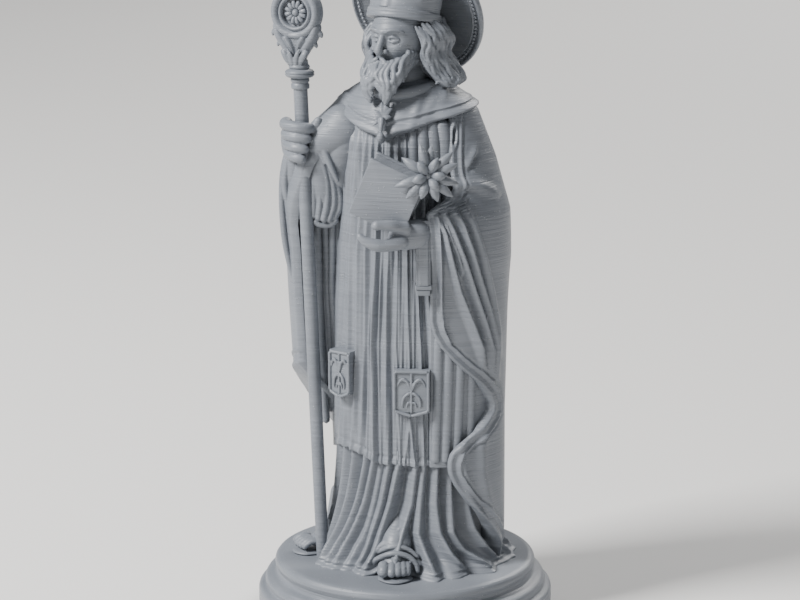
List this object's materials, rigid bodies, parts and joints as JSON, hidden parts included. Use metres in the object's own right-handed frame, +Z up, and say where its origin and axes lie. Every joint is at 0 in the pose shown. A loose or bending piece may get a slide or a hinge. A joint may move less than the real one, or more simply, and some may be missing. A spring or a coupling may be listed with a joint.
{
  "type": "bishop saint statuette",
  "caption": "Grey printed plastic statuette of a bishop saint with crozier, mitre, halo, book and flower, on a round stepped plinth.",
  "frame": {"origin": "centre of the plinth's round underside", "axes": "+Z up; the figure's chest faces -Y; +X is the figure's left"},
  "size_m": [0.094, 0.094, 0.2121],
  "materials": {
    "printed_plastic": "satin"
  },
  "bodies": {
    "root": {"statue": "printed_plastic"}
  },
  "joints": []
}
